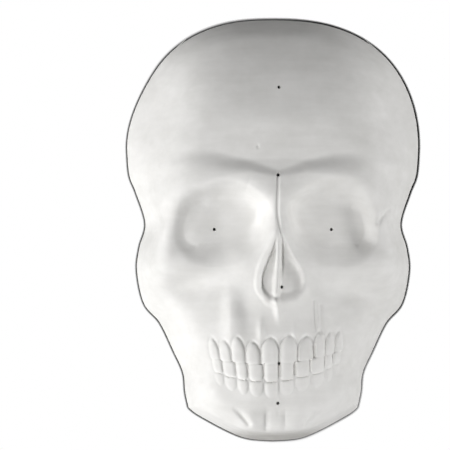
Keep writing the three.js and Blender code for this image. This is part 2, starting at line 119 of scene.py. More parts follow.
# The opening's left half is this many times narrower than its right one
LEFT_NARROWING = 1.5
LEFT_LIP_RISE = 0.85
NOSE_SPINE_RISE = 2.4
NOSE_FLANK_RISE = 2.2
NOSE_ROOT_RISE = 2.4

# Cheekbones
CHEEKBONE_X = 50
CHEEKBONE_Y = -17
CHEEKBONE_RISE = 3.4
CHEEK_ARCH_RISE = 2.8
CHEEK_HOLLOW_DEPTH = 4.8

# Teeth, as widths and heights from the middle outwards
BITE_Y = CHIN_Y + 40.3
BITE_TILT = 0.06
BITE_CURVE = 0.0042
MIDLINE_X = 0.8
UPPER_HEIGHTS = {-1: [13.4, 11.2, 13, 10.6, 10.4], 1: [13.8, 12.2, 13.2, 11.6, 10.4]}
UPPER_WIDTHS = {-1: [9.5, 7.8, 7.2, 6, 5], 1: [9.4, 8.5, 5.8, 5, 4.2]}
LOWER_HEIGHTS = {-1: [9.4, 9, 8.6, 8, 7], 1: [9, 8.4, 8.2, 7.4, 6.4]}
LOWER_WIDTHS = {-1: [7.9, 7.9, 6, 6.6, 5], 1: [7.9, 7.9, 7.6, 4.2, 4]}

# The first tooth's crown and root, how much lower each next one is, and what is cut between them
CROWN_RISE = 1.15
CROWN_LOSS = 0.09
ROOT_RISE = 1
ROOT_LOSS = 0.13
GROOVE_DEPTH = 0.55
GROOVE_HALF_WIDTH = 0.55
DEEP_GAP_DEPTH = 0.9
BITE_DEPTH = 0.25

# Lower end of the opening of the nose
NOSE_BASE_Y = BITE_Y + 30.6

# Jaws
JAW_CREST_RISE = 3.2
JAW_CORNER_RISE = 2.4
CHIN_BORDER_RISE = 3.2
CHIN_STRIP_HALF_WIDTH = 5.6
CHIN_HOLLOW_END = 14.5
CHIN_HOLLOW_DEPTH = 3.3
CHIN_GROOVE_DEPTH = 1.6

# Fine cuts over the bones
NOSE_SEAM_DEPTH = 0.8
SOCKET_SEAM_DEPTH = 1.1
ROOT_GROOVE_DEPTH = 0.5
PIT_DEPTH = 0.6

# The carving fades out over this distance from the rim
CARVING_MARGIN = 9

# How finely the two faces of the shell are divided, as bands of [length, steps]
COLUMN_BANDS = [[0.34, 66], [0.32, 104], [0.34, 66]]
ROW_BANDS = [[0.3, 62], [0.2, 50], [0.18, 60], [0.06, 20], [0.17, 78], [0.09, 32]]
HOLLOW_COARSENESS = 4
# Faces that meet at less than this many degrees are shaded as one smooth surface
SMOOTH_ANGLE = 50
# A face of the wall is upright, so its normal rises less than this
UPRIGHT = 0.01


# Shaping functions, for whole arrays of places at once

def ease(start, end, value):
    """0 before `start`, 1 after `end`, and smooth between them."""
    t = np.clip((value - start) / (end - start), 0, 1)
    return t * t * (3 - 2 * t)


def swell(x, y, centre_x, centre_y, radius_x, radius_y, turn=0):
    """A round swelling, 1 at its centre."""
    c, s = math.cos(math.radians(turn)), math.sin(math.radians(turn))
    u = ((x - centre_x) * c + (y - centre_y) * s) / radius_x
    v = ((y - centre_y) * c - (x - centre_x) * s) / radius_y
    return np.exp(-(u * u + v * v))


def oval_share(x, y, centre_x, centre_y, half_width, half_height, squareness):
    """How far out a place lies in an oval: 0 at its centre, 1 on its edge."""
    u = np.abs(x - centre_x) / half_width
    v = np.abs(y - centre_y) / half_height
    return (u ** squareness + v ** squareness) ** (1 / squareness)


def run_through(stations):
    """A smooth run of values through stations (position, value), listed upwards."""
    places = np.array([s[0] for s in stations], float)
    values = np.array([s[1] for s in stations], float)
    last = len(stations) - 1
    before = [max(i - 1, 0) for i in range(last + 1)]
    after = [min(i + 1, last) for i in range(last + 1)]
    slopes = (values[after] - values[before]) / (places[after] - places[before])

    def run(position):
        """The value at a position: the first or last one beyond the ends."""
        i = np.clip(np.searchsorted(places, position, side="left") - 1, 0, last - 1)
        step = places[i + 1] - places[i]
        t = np.clip((position - places[i]) / step, 0, 1)
        rise = t * t * (3 - 2 * t)
        bend = slopes[i] * t * (1 - t) ** 2 - slopes[i + 1] * t * t * (1 - t)
        return values[i] * (1 - rise) + values[i + 1] * rise + bend * step

    return run


def line_through(points, steps):
    """A smooth open line through points, as evenly spaced places along it."""
    p = np.array(points, float)
    p = np.vstack([p[0], p, p[-1]])
    fine = []
    for a, b, c, d in zip(p, p[1:], p[2:], p[3:]):
        t = np.linspace(0, 1, 40, endpoint=False)[:, None]
        fine.append(0.5 * (2 * b + (c - a) * t + (2 * a - 5 * b + 4 * c - d) * t ** 2
                           + (3 * b - a - 3 * c + d) * t ** 3))
    fine = np.vstack([*fine, p[-1]])
    return evenly(fine, np.linspace(0, 1, steps + 1))


def evenly(line, shares):
    """Places at these shares of a line's length."""
    lengths = np.hypot(*np.diff(line, axis=0).T)
    run = np.concatenate([[0], np.cumsum(lengths)])
    wanted = np.asarray(shares) * run[-1]
    return np.column_stack([np.interp(wanted, run, line[:, 0]), np.interp(wanted, run, line[:, 1])])


def nearest(line, x, y):
    """The nearest place on a line: its distance, its share of the line, and which side of the line
    the given place is on, +1 for the right."""
    distance = np.full(np.shape(x), np.inf)
    share = np.zeros(np.shape(x))
    side = np.ones(np.shape(x))
    for i, ((ax, ay), (bx, by)) in enumerate(zip(line, line[1:])):
        dx, dy = bx - ax, by - ay
        t = np.clip(((x - ax) * dx + (y - ay) * dy) / (dx * dx + dy * dy), 0, 1)
        found = np.hypot(x - ax - t * dx, y - ay - t * dy)
        closer = found < distance
        distance = np.where(closer, found, distance)
        share = np.where(closer, (i + t) / (len(line) - 1), share)
        side = np.where(closer, np.where(dx * (y - ay) - dy * (x - ax) > 0, -1, 1), side)
    return distance, share, side


def stroke(line, x, y, half_width):
    """A soft-edged mark along a line, 1 on the line."""
    return np.exp(-(nearest(line, x, y)[0] / half_width) ** 2)


# Outline of the face

def cranium_arc(start, end):
    """The cranium from the crown, at angle 0, to its widest place."""
    angle = np.linspace(start, end, 200)
    across = np.maximum(np.sin(angle), 0) ** (2 / CRANIUM_SQUARENESS)
    up = np.maximum(np.cos(angle), 0) ** (2 / CRANIUM_SQUARENESS)
    return np.column_stack([CRANIUM_HALF_WIDTH * across,
                            CRANIUM_WIDEST_Y + (CROWN_Y - CRANIUM_WIDEST_Y) * up])


JAW_CORNER = (JAW_HALF_WIDTH - 1.7, JAW_Y - 8)
SIDE_LINE = line_through([
    (CRANIUM_HALF_WIDTH, CRANIUM_WIDEST_Y),
    (CRANIUM_HALF_WIDTH - 1.1, CRANIUM_WIDEST_Y - 13.5),
    (WAIST_HALF_WIDTH + 4.7, WAIST_Y + 15.5),
    (WAIST_HALF_WIDTH, WAIST_Y),
    (CHEEK_HALF_WIDTH - 1.2, CHEEK_Y + 12),
    (CHEEK_HALF_WIDTH, CHEEK_Y),
    (CHEEK_HALF_WIDTH - 3.6, CHEEK_Y - 16.5),
    (CHEEK_HALF_WIDTH - 11.8, CHEEK_Y - 26.5),
    (JAW_HALF_WIDTH + 6, JAW_Y + 21),
    (JAW_HALF_WIDTH + 1.1, JAW_Y + 10),
    (JAW_HALF_WIDTH, JAW_Y),
    JAW_CORNER,
], 300)
CHIN_LINE = line_through([
    JAW_CORNER,
    (JAW_HALF_WIDTH - 6.8, CHIN_Y + 13),
    (JAW_HALF_WIDTH - 22.4, CHIN_Y + 4.6),
    (JAW_HALF_WIDTH - 32.5, CHIN_Y + 1),
    (0, CHIN_Y),
], 200)
CROWN_LINE = cranium_arc(0, math.pi / 4)
FLANK_LINE = np.vstack([cranium_arc(math.pi / 4, math.pi / 2)[:-1], SIDE_LINE])
HALF_OUTLINE = np.vstack([
    evenly(CROWN_LINE, np.linspace(0, 1, 25)),
    evenly(FLANK_LINE, np.linspace(0, 1, 91))[1:],
    evenly(CHIN_LINE, np.linspace(0, 1, 21))[1:],
])


# Relief of the face. `a` is the distance from the middle of the face, where both sides are alike.

front_height = run_through([
    (CHIN_Y, FOREHEAD_HEIGHT - 13.5),
    (CHIN_Y + 13, FOREHEAD_HEIGHT - 9),
    (BITE_Y - 12, FOREHEAD_HEIGHT - 5.5),
    (BITE_Y + 8, FOREHEAD_HEIGHT - 3),
    (NOSE_BASE_Y, FOREHEAD_HEIGHT - 4.5),
    (NOSE_TOP_Y - 9.5, FOREHEAD_HEIGHT - 5.5),
    (NOSE_TOP_Y + 10.5, FOREHEAD_HEIGHT - 3.5),
    (BROW_CREST_Y, FOREHEAD_HEIGHT - 0.3),
    (BROW_CREST_Y + 8, FOREHEAD_HEIGHT - 0.6),
    (BROW_CREST_Y + 30, FOREHEAD_HEIGHT - 2.3),
    (CROWN_Y, FOREHEAD_HEIGHT - 2.7),
])
edge_roll = run_through([
    (CHIN_Y, 16), (JAW_Y, 17), (BITE_Y + 8, 18), (CHEEK_Y, 16),
    (WAIST_Y, 18), (BROW_CREST_Y, 30), (BROW_CREST_Y + 23, 44), (CROWN_Y - 23, 56), (CROWN_Y, 60),
])
# How quickly the rise slackens: fuller at the face, and an even slope at the crown
fullness = run_through([(CHIN_Y, 3), (BROW_CREST_Y, 2.8), (BROW_CREST_Y + 23, 2.7), (CROWN_Y, 2.9)])
# How much of the rise is in the steep bevel along the rim
rim_share = run_through([
    (CHIN_Y, 0.7), (CHIN_Y + 5, 0.66), (CHIN_Y + 12, 0.4), (JAW_Y, 0.26), (BITE_Y + 8, 0.1),
    (CHEEK_Y, 0.06), (BROW_CREST_Y + 23, 0.08), (CROWN_Y, 0.16),
])
side_fall = run_through([
    (CHIN_Y, 7), (CHIN_Y + 13, 13), (JAW_Y, 24), (BITE_Y + 8, 25), (CHEEK_Y - 24, 20),
    (CHEEK_Y, 11), (WAIST_Y, 9), (BROW_CREST_Y, 8), (CROWN_Y - 28, 10), (CROWN_Y, 9),
])


def head(a, y, inset):
    """The plain head: a dome that rises from the lip and falls away to both sides."""
    temple_x = CRANIUM_HALF_WIDTH - 13
    # The dome rolls up over a wider strip towards the middle of the forehead
    roll = edge_roll(y) + 22 * ease(temple_x, 10, a) * ease(BROW_CREST_Y, CROWN_Y - 38, y)
    dome = 1 - (1 - np.clip(inset / roll, 0, 1)) ** fullness(y)
    # The steep bevel takes its share of the rise, and is straightest at the chin
    bevel = rim_share(y)
    steep = RIM_BEVEL + 7 * ease(CHEEK_Y, BROW_CREST_Y + 23, y) + ease(CHIN_Y + 12, CHIN_Y + 3, y)
    share = np.clip(inset / steep, 0, 1)
    curve = 0.3 + 0.7 * ease(JAW_Y, BITE_Y, y)
    dome = bevel * (share + curve * share * (1 - share)) + (1 - bevel) * dome
    top = front_height(y) - LIP_HEIGHT - side_fall(y) * (a / 60) ** 2
    # The temples are pressed in, and the head turns down at a line inside them
    across = ease(temple_x - 24, temple_x + 4, a) * ease(temple_x + 24, temple_x + 4, a)
    temple = TEMPLE_DEPTH * ease(WAIST_Y + 4, BROW_CREST_Y, y) * ease(CROWN_Y - 8, CROWN_Y - 53, y)
    temple *= across
    past = a - (temple_x - 12)
    hinge = HINGE_SLOPE / 2 * (past + np.hypot(past, HINGE_ROUND))
    hinge *= ease(CROWN_Y - 18, CROWN_Y - 50, y) * ease(WAIST_Y + 6, WAIST_Y + 26, y)
    return LIP_HEIGHT + top * dome - temple - hinge * dome


# The rim of a socket, from the bridge of the nose over the roof and back along the cheekbone
SOCKET_RIM = line_through([
    (SOCKET_X - 28, SOCKET_Y + 1),
    (SOCKET_X - 28.5, SOCKET_Y + 10),
    (SOCKET_X - 22.5, SOCKET_Y + 16.5),
    (SOCKET_X - 13, SOCKET_Y + 22.5),
    (SOCKET_X - 2, SOCKET_Y + 24),
    (SOCKET_X + 7, SOCKET_Y + 22.4),
    (SOCKET_X + 14, SOCKET_Y + 18),
    (SOCKET_X + 19, SOCKET_Y + 10.5),
    (SOCKET_X + 20.8, SOCKET_Y + 2),
    (SOCKET_X + 20.4, SOCKET_Y - 7),
    (SOCKET_X + 18.3, SOCKET_Y - 13.5),
    (SOCKET_X + 13.5, SOCKET_Y - 19),
    (SOCKET_X + 7, SOCKET_Y - 21.2),
    (SOCKET_X, SOCKET_Y - 21.8),
    (SOCKET_X - 7, SOCKET_Y - 21.3),
    (SOCKET_X - 13.5, SOCKET_Y - 19.4),
    (SOCKET_X - 19.5, SOCKET_Y - 15.8),
    (SOCKET_X - 24.5, SOCKET_Y - 9.5),
    (SOCKET_X - 27.2, SOCKET_Y - 4),
    (SOCKET_X - 28, SOCKET_Y + 1),
], 60)
# Its wall from the bridge over the roof and back along the cheekbone: how wide it is, how sharply
# it turns down at the rim, and how sharply it meets the floor
socket_wall = run_through([
    (0, 7.5), (0.1, 9), (0.2, 14), (0.34, 15), (0.46, 11), (0.6, 9), (0.7, 12), (0.86, 12),
    (1, 7.5),
])
rim_turn = run_through([
    (0, 0.3), (0.08, 1.3), (0.2, 1.3), (0.3, 0), (0.62, 0), (0.72, 1), (0.86, 0.8), (1, 0.3),
])
floor_turn = run_through([
    (0, 0), (0.22, 0.3), (0.4, 0.6), (0.5, 0.9), (0.62, 0.9), (0.74, 0.2), (0.9, 0), (1, 0),
])


def socket(x, y):
    """A socket: walls that sweep down to a floor, which swells under the closed eye. The left one
    gets shallow towards its outer side, where the right one has a steep wall."""
    a = np.abs(x)
    right = ease(-1, 1, x)
    distance, share, side = nearest(SOCKET_RIM, a, y)
    right_outer = right * ease(0.34, 0.42, share) * ease(0.62, 0.52, share)
    left_outer = (1 - right) * ease(0.3, 0.42, share) * ease(0.66, 0.52, share)
    width = socket_wall(share) - RIGHT_OUTER_LOSS * right_outer - LEFT_OUTER_LOSS * left_outer
    # The closed eye, which is highest at its middle
    eye = oval_share(a, y, SOCKET_X - 1.5, SOCKET_Y - 2.5, EYE_HALF_WIDTH, EYE_HALF_HEIGHT, 2.1)
    lid = np.maximum(0, 1 - (eye / 1.25) ** 2) ** 1.4
    # The wall, from 0 at the rim to 1 on the floor
    down = np.clip(distance * side / width, 0, 1)
    wall = ease(0, 1, down) + rim_turn(share) * down * (1 - down) ** 2
    wall -= floor_turn(share) * down * down * (1 - down)
    runs_out = ease(SOCKET_X - 6, SOCKET_X + 15, a) * ease(SOCKET_Y - 20, SOCKET_Y - 4, y)
    runs_out *= 1 - right
    depth = SOCKET_DEPTH * (0.92 + 0.18 * right - 0.64 * runs_out)
    # The floor rises towards the cheekbone
    depth *= 1 - 0.4 * ease(SOCKET_Y - 2, SOCKET_Y - 18, y)
    return EYE_RISE * lid - depth * wall


bridge_half_width = run_through([
    (NOSE_BASE_Y - 13, 14), (NOSE_BASE_Y, 16), (NOSE_BASE_Y + 12, 16), (NOSE_TOP_Y - 11.5, 12.5),
    (NOSE_TOP_Y - 1.5, 9), (NOSE_TOP_Y + 8.5, 6.8), (BROW_CREST_Y - 17, 9), (BROW_CREST_Y - 10, 20),
    (BROW_CREST_Y + 8, 30),
])
bridge_rise = run_through([
    (NOSE_BASE_Y - 18, 0), (NOSE_BASE_Y - 5, 2), (NOSE_BASE_Y + 5, 5.2), (NOSE_BASE_Y + 17, 7),
    (NOSE_TOP_Y - 7.5, NOSE_RISE - 0.8), (NOSE_TOP_Y, NOSE_RISE), (NOSE_TOP_Y + 10.5, 7),
    (BROW_CREST_Y - 8, 2.2), (BROW_CREST_Y + 4, 0),
])


def bridge(a, y):
    """The bridge of the nose, its flanks beside the opening, and its root under the brow."""
    ridge = np.exp(-(a / bridge_half_width(y)) ** 2.6)
    flank = NOSE_FLANK_RISE * swell(a, y, NOSE_HALF_WIDTH + 3, NOSE_TOP_Y - 15.5, 7, 10, 20)
    root = NOSE_ROOT_RISE * swell(a, y, 0, BROW_CREST_Y - 13, 17, 9)
    return bridge_rise(y) * ridge + flank + root


def cheek(x, y):
    """Cheekbones, with the hollow below each, which is lower at the right."""
    a = np.abs(x)
    hollow_y = CHEEKBONE_Y - 11.5 - 4 * ease(-1, 1, x)
    bone = CHEEKBONE_RISE * swell(a, y, CHEEKBONE_X, CHEEKBONE_Y, 17, 9, -10)
    arch = CHEEK_ARCH_RISE * swell(a, y, CHEEKBONE_X + 8, CHEEKBONE_Y + 14, 6, 13)
    hollow = CHEEK_HOLLOW_DEPTH * swell(a, y, CHEEKBONE_X - 5, hollow_y, 17, 7, -12)
    return bone + arch - hollow


# The middle of the step from the forehead up to the crest of the brow
BROW_LINE = line_through([
    (0, BROW_CREST_Y - 3.4),
    (SOCKET_X - 29.5, BROW_CREST_Y - 2.4),
    (SOCKET_X - 21.5, BROW_CREST_Y - 0.5),
    (SOCKET_X - 16.5, BROW_CREST_Y + 0.8),
    (SOCKET_X - 1.5, BROW_CREST_Y + 1.2),
    (SOCKET_X + 7.5, BROW_CREST_Y),
    (SOCKET_X + 13.5, BROW_CREST_Y - 3),
    (SOCKET_X + 18.5, BROW_CREST_Y - 8),
    (SOCKET_X + 22.4, BROW_CREST_Y - 15.5),
    (SOCKET_X + 24, BROW_CREST_Y - 24),
], 40)
brow_step = run_through([(0, 2), (0.2, 3.4), (0.4, 6), (0.6, 7.5), (0.75, 6.5), (1, 3)])
brow_height = run_through([(0, 0.35), (0.2, 0.72), (0.4, 1.05), (0.6, 1.2), (0.78, 1.15), (1, 0.5)])


def brow(x, y):
    """The brow: a broad step up from the forehead to a crest, rounding over into the socket. The
    left one is broader and runs on further round the temple."""
    a = np.abs(x)
    left = ease(1, -1, x)
    reached = a * (1 - LEFT_BROW_REACH * left * ease(28, 55, a))
    distance, share, side = nearest(BROW_LINE, reached, y)
    below = distance * side
    broad = left * ease(0.3, 0.55, share)
    step = ease(-1, 1, below / (brow_step(share) * (1 + 0.3 * broad)))
    fall = ease(BROW_FALL_START * (1 + broad), BROW_FALL_END, below)
    return BROW_RISE * brow_height(share) * step * (1 - fall)


# The opening of the nose, pear shaped
NOSE_LENGTH = NOSE_TOP_Y - NOSE_BASE_Y
PEAR = line_through([
    (across * NOSE_HALF_WIDTH, NOSE_TOP_Y - down * NOSE_LENGTH) for across, down in [
        (0, 0), (0.2, 0.07), (0.35, 0.18), (0.55, 0.32), (0.76, 0.45), (0.93, 0.58),
        (1, 0.7), (0.95, 0.82), (0.78, 0.92), (0.5, 0.98), (0, 1),
    ]
], 30)
SEPTUM = line_through([
    (NOSE_MIDDLE_X - 0.2, NOSE_TOP_Y + 1),
    (NOSE_MIDDLE_X - 0.4, NOSE_TOP_Y - NOSE_LENGTH * 0.4),
    (NOSE_MIDDLE_X - 0.8, NOSE_TOP_Y - NOSE_LENGTH * 0.6),
    (NOSE_MIDDLE_X - 1.7, NOSE_TOP_Y - NOSE_LENGTH * 0.85),
], 8)
NOSE_SPINE = line_through([
    (-1.2, NOSE_BASE_Y + 1),
    (0, NOSE_BASE_Y - 3),
    (0.8, NOSE_BASE_Y - 12),
], 4)


def nostrils(x, y):
    """The opening with its raised lip, the septum down its middle and the spine under it. The left
    side is deepest along its wall and the right side along the septum."""
    right = ease(-1, 1, x - NOSE_MIDDLE_X)
    across = np.abs(x - NOSE_MIDDLE_X) * (LEFT_NARROWING + (1 - LEFT_NARROWING) * right)
    distance, _, side = nearest(PEAR, across, y)
    inside = np.maximum(distance * side, 0)
    down = np.clip((NOSE_TOP_Y - y) / NOSE_LENGTH, 0, 1)
    outside = -distance * side
    # The left lip is a flat band, narrower at its ends, and the right one a round bead
    narrower = 1.8 * ease(0.4, 0, down) + 2.6 * ease(0.78, 0.96, down)
    left_lip = LEFT_LIP_RISE * ease(5.8, 3.6, outside + narrower)
    right_lip = 0.5 + 0.5 * ease(0.1, 0.45, down) - 0.4 * ease(0.85, 1, down)
    right_lip *= np.exp(-(outside / 2) ** 2)
    lip = (left_lip * (1 - right) + right_lip * right) * ease(NOSE_TOP_Y + 4, NOSE_TOP_Y - 3, y)
    # From 0 at the outer wall to nearly 1 at the septum, which gets thinner downwards
    beyond = nearest(SEPTUM, x, y)[0] - SEPTUM_HALF_WIDTH * (1 - 0.5 * down)
    openness = inside / (inside + np.maximum(beyond, 0) + 0.5)
    left_floor = 1 - 0.6 * openness
    right_floor = (0.45 + 0.55 * openness) * ease(-0.9, 1.8, beyond)
    floor = left_floor * ease(-0.8, 1.6, beyond) * (1 - right) + right_floor * right
    # It is deepest under the bridge, and its wall slopes most gently at the lower end
    depth = NOSE_DEPTH * (1 + (0.5 - 0.15 * right) * ease(0.7, 0.2, down)) * (1 - 0.5 * down)
    wall = 1.4 + 0.8 * ease(0.65, 0.35, down) + 1.3 * right + (3.6 + right) * ease(0.7, 0.95, down)
    spine = NOSE_SPINE_RISE * stroke(NOSE_SPINE, x, y, 1.8) * ease(NOSE_BASE_Y - 13, NOSE_BASE_Y, y)
    return lip - depth * ease(0, 1, inside / wall) * floor + spine


def upper_jaw(x, y):
    """The crest by the cheek with the faint hollow beside it, the swelling over the arch, and the
    bump over the root of the second tooth."""
    a = np.abs(x)
    right = ease(-1, 1, x)
    crest_x = 23.8
    crest_radius = 3.7 + 3 * ease(crest_x + 1.5, crest_x - 1.5, a)
    crest = (JAW_CREST_RISE - 1.8 * right) * swell(a, y, crest_x, NOSE_BASE_Y - 7, crest_radius, 13)
    hollow = 0.3 * swell(a, y, 16.8, NOSE_BASE_Y - 5, 3.8, 10)
    root = (1.2 - 0.6 * right) * swell(a, y, 8.7, NOSE_BASE_Y - 14.5, 1.8, 5.5)
    return crest - hollow + swell(a, y, 0, BITE_Y + 5, 30, 14) + root


# The bank at the outer side of the hollow beside the chin
CHIN_BANK = line_through([(21.5, CHIN_Y + 17.5), (17.5, CHIN_Y + 13.5), (14.2, CHIN_Y + 9.3)], 6)


def lower_jaw(x, y):
    """Its corners, the swelling beside the chin, the chin's border, and the strip down the middle
    with a hollow and a groove at each side."""
    a = np.abs(x)
    right = ease(-1, 1, x)
    corner = JAW_CORNER_RISE * swell(a, y, 33, JAW_Y - 1, 10, 9, 35)
    corner -= 2.2 * swell(a, y, 38, JAW_Y - 5, 5.5, 5.5)
    beside_chin = (1.9 - 1.5 * right) * swell(a, y, 12, JAW_Y + 1, 14, 11)
    border = CHIN_BORDER_RISE * swell(a, y, 0, CHIN_Y + 7.5, 26, 5.5)
    reach = ease(CHIN_Y + 4.5, CHIN_Y + 7.5, y) * ease(CHIN_Y + 19, CHIN_Y + 13.5, y)
    groove = CHIN_GROOVE_DEPTH * stroke(CHIN_BANK, a, y, 1.3 + 0.3 * right)
    # The hollow beside the strip slopes down to it and ends at a crisp edge
    strip = CHIN_STRIP_HALF_WIDTH - 1.4 * right
    slope = np.clip((CHIN_HOLLOW_END - a) / (CHIN_HOLLOW_END - strip), 0, 1) ** 1.7
    hollow = (CHIN_HOLLOW_DEPTH - 1.4 * ease(-6, 6, x)) * slope
    hollow *= 1 - 0.25 * ease(strip + 0.2, strip - 3, a)
    return corner + beside_chin + border - (groove + hollow) * reach


def bite_line(x):
    """Where the two rows of teeth meet."""
    return BITE_Y + BITE_TILT * x + BITE_CURVE * x * x


def tooth_share(across, from_bite, width, height, shoulder, point):
    """How far out a place lies on a tooth, 1 on its edge: straight sides from the bite to its
    shoulder, and an arch from there to the gum."""
    u = np.abs(across) / (width / 2)
    middle = height * shoulder
    v = np.maximum(from_bite - middle, 0) / (height - middle)
    return (u ** point + v ** point) ** (1 / point)


def tooth_row(x, y, side, jaw, widths, heights, lean, shoulder, point):
    """A quarter of the teeth, as the height of their crowns and how deep the groove round each is
    cut. `side` is -1 at the left, `jaw` is +1 for the upper row."""
    from_bite = jaw * (y - bite_line(x))
    crowns = np.zeros(x.shape)
    grooves = np.zeros(x.shape)
    start = 0
    for i, (width, height) in enumerate(zip(widths, heights)):
        centre = start + width / 2 + jaw * lean * i * (from_bite - height / 2)
        start += width
        across = side * (x - MIDLINE_X) - centre
        share = tooth_share(across, from_bite, width, height, shoulder, point)
        own_side = from_bite > 0
        crown = (CROWN_RISE - CROWN_LOSS * i) * np.clip(1 - share ** 3, 0, 1) * own_side
        crowns = np.maximum(crowns, crown)
        gap = np.exp(-((share - 1) * width / 2 / GROOVE_HALF_WIDTH) ** 2) * own_side
        if jaw < 0:
            # At the gum the groove is shallower, and past it the root shows as a lower bump
            gap *= 1 - 0.5 * ease(height * 0.7, height * 0.95, from_bite)
            root = np.hypot(across / (width * 0.46), (from_bite - height * 1.25) / (height * 0.62))
            bump = (ROOT_RISE - ROOT_LOSS * i) * np.clip(1 - root ** 3, 0, 1)
            crowns = np.maximum(crowns, bump * (from_bite > height))
        grooves = np.maximum(grooves, gap * (1 - 0.1 * i))
    return crowns, grooves


# The gaps that were cut deepest: the middle of the lower teeth, beside the first lower tooth at the
# right, and beside the second upper one
DEEP_GAPS = [
    line_through([(MIDLINE_X, BITE_Y - 1), (MIDLINE_X + 0.1, BITE_Y - 5.5)], 2),
    line_through([(MIDLINE_X + 7.9, BITE_Y - 1), (MIDLINE_X + 7.9, BITE_Y - 5)], 2),
    line_through([(MIDLINE_X + 17.6, BITE_Y + 8.5), (MIDLINE_X + 17.9, BITE_Y + 3.5)], 2),
]


def teeth(x, y):
    """Both rows of teeth, with the grooves and gaps between them. Those at the left lean."""
    crowns = np.zeros(x.shape)
    grooves = np.zeros(x.shape)
    for side, upper_lean, lower_lean in ((-1, 0.05, 0.04), (1, 0, 0)):
        upper_sizes = UPPER_WIDTHS[side], UPPER_HEIGHTS[side]
        lower_sizes = LOWER_WIDTHS[side], LOWER_HEIGHTS[side]
        for row in (
            tooth_row(x, y, side, 1, *upper_sizes, upper_lean, shoulder=0.42, point=1.75),
            tooth_row(x, y, side, -1, *lower_sizes, lower_lean, shoulder=0.55, point=2.6),
        ):
            crowns = np.maximum(crowns, row[0])
            grooves = np.maximum(grooves, row[1])
    bite = BITE_DEPTH * np.exp(-((y - bite_line(x)) / 0.6) ** 2) * ease(36, 30, np.abs(x))
    gaps = sum(DEEP_GAP_DEPTH * stroke(gap, x, y, 0.75) for gap in DEEP_GAPS)
    return crowns - GROOVE_DEPTH * grooves - bite - gaps


# The seam between the bones of the nose, from the brow to the opening
NOSE_SEAM = line_through([
    (-0.5, BROW_CREST_Y - 4),
    (-0.7, BROW_CREST_Y - 14),
    (-0.6, NOSE_TOP_Y + 8.5),
    (0.5, NOSE_TOP_Y + 1),
    (1.6, NOSE_TOP_Y - 2.5),
], 12)
# A mark at the outer corner of the right socket alone, where two bones meet
SOCKET_SEAM = line_through([
    (SOCKET_X + 18.7, SOCKET_Y + 0.6),
    (SOCKET_X + 21.7, SOCKET_Y + 4.8),
    (SOCKET_X + 25, SOCKET_Y + 7.8),
], 8)
# A pinhole in the forehead
FOREHEAD_PIT = (-10.3, BROW_CREST_Y + 10.7)
# Two thin grooves over the roots at the right
ROOT_GROOVES = [
    line_through([(18.4, NOSE_BASE_Y + 1), (19, NOSE_BASE_Y - 8), (19.3, NOSE_BASE_Y - 14)], 4),
    line_through([(21.8, NOSE_BASE_Y - 1), (22.2, NOSE_BASE_Y - 8), (22.4, NOSE_BASE_Y - 15)], 4),
]


def masses(x, y, inset):
    """Height of the big masses, which both faces of the shell follow."""
    a = np.abs(x)
    forms = socket(x, y) + bridge(a, y) + cheek(x, y)
    return head(a, y, inset) + forms * ease(0, CARVING_MARGIN, inset)


def face_height(x, y):
    """Height of the face that the glass is draped on."""
    a = np.abs(x)
    inset = nearest(HALF_OUTLINE, a, y)[0]
    carving = brow(x, y) + nostrils(x, y) + upper_jaw(x, y) + lower_jaw(x, y) + teeth(x, y)
    seams = NOSE_SEAM_DEPTH * stroke(NOSE_SEAM, x, y, 0.8)
    seams += SOCKET_SEAM_DEPTH * stroke(SOCKET_SEAM, x, y, 0.9)
    seams += PIT_DEPTH * swell(x, y, *FOREHEAD_PIT, 0.7, 0.7)
    seams += sum(ROOT_GROOVE_DEPTH * stroke(groove, x, y, 0.85) for groove in ROOT_GROOVES)
    height = masses(x, y, inset) + (carving - seams) * ease(0, CARVING_MARGIN, inset)
    return np.minimum(height, FULL_HEIGHT)


def hollow_height(x, y):
    """Height of the hollow: the masses alone, softened as the slip left them, and a wall lower."""
    reach = SOFTENING_REACH
    middle_y = (NOSE_TOP_Y + NOSE_BASE_Y) / 2 - 4

    def inset_at(dx, dy):
        """Distance from the outline."""
        return nearest(HALF_OUTLINE, np.abs(x + dx), y + dy)[0]

    def surface(dx, dy):
        """The masses, with a plain dish under the opening of the nose."""
        dish = oval_share(x + dx, y + dy, 0, middle_y, NOSE_HALF_WIDTH, NOSE_LENGTH / 2, 2)
        return masses(x + dx, y + dy, inset_at(dx, dy)) - NOSE_DEPTH * (1 - ease(0.2, 1.5, dish))

    def plain(dx, dy):
        """The head alone, whose slope says how far down the wall reaches."""
        return head(np.abs(x + dx), y + dy, inset_at(dx, dy))

    slope_x = (plain(reach, 0) - plain(-reach, 0)) / (2 * reach)
    slope_y = (plain(0, reach) - plain(0, -reach)) / (2 * reach)
    around = surface(reach, 0) + surface(-reach, 0) + surface(0, reach) + surface(0, -reach)
    steepness = np.minimum(np.sqrt(1 + slope_x ** 2 + slope_y ** 2), STEEPEST)
    return (2 * surface(0, 0) + around) / 6 - WALL * steepness


# Modelling

def select_only(*pieces):
    """Selects these objects alone and makes the first one active."""
    bpy.ops.object.select_all(action="DESELECT")
    for piece in pieces:
        piece.select_set(True)
    bpy.context.view_layer.objects.active = pieces[0]


def spread(bands, coarseness):
    """Shares from 0 to 1 in bands of [length, steps]."""
    shares = [0.0]
    for length, count in bands:
        steps = max(1, round(count / coarseness))
        shares.extend(shares[-1] + length * np.arange(1, steps + 1) / steps)
    return np.array(shares) / shares[-1]


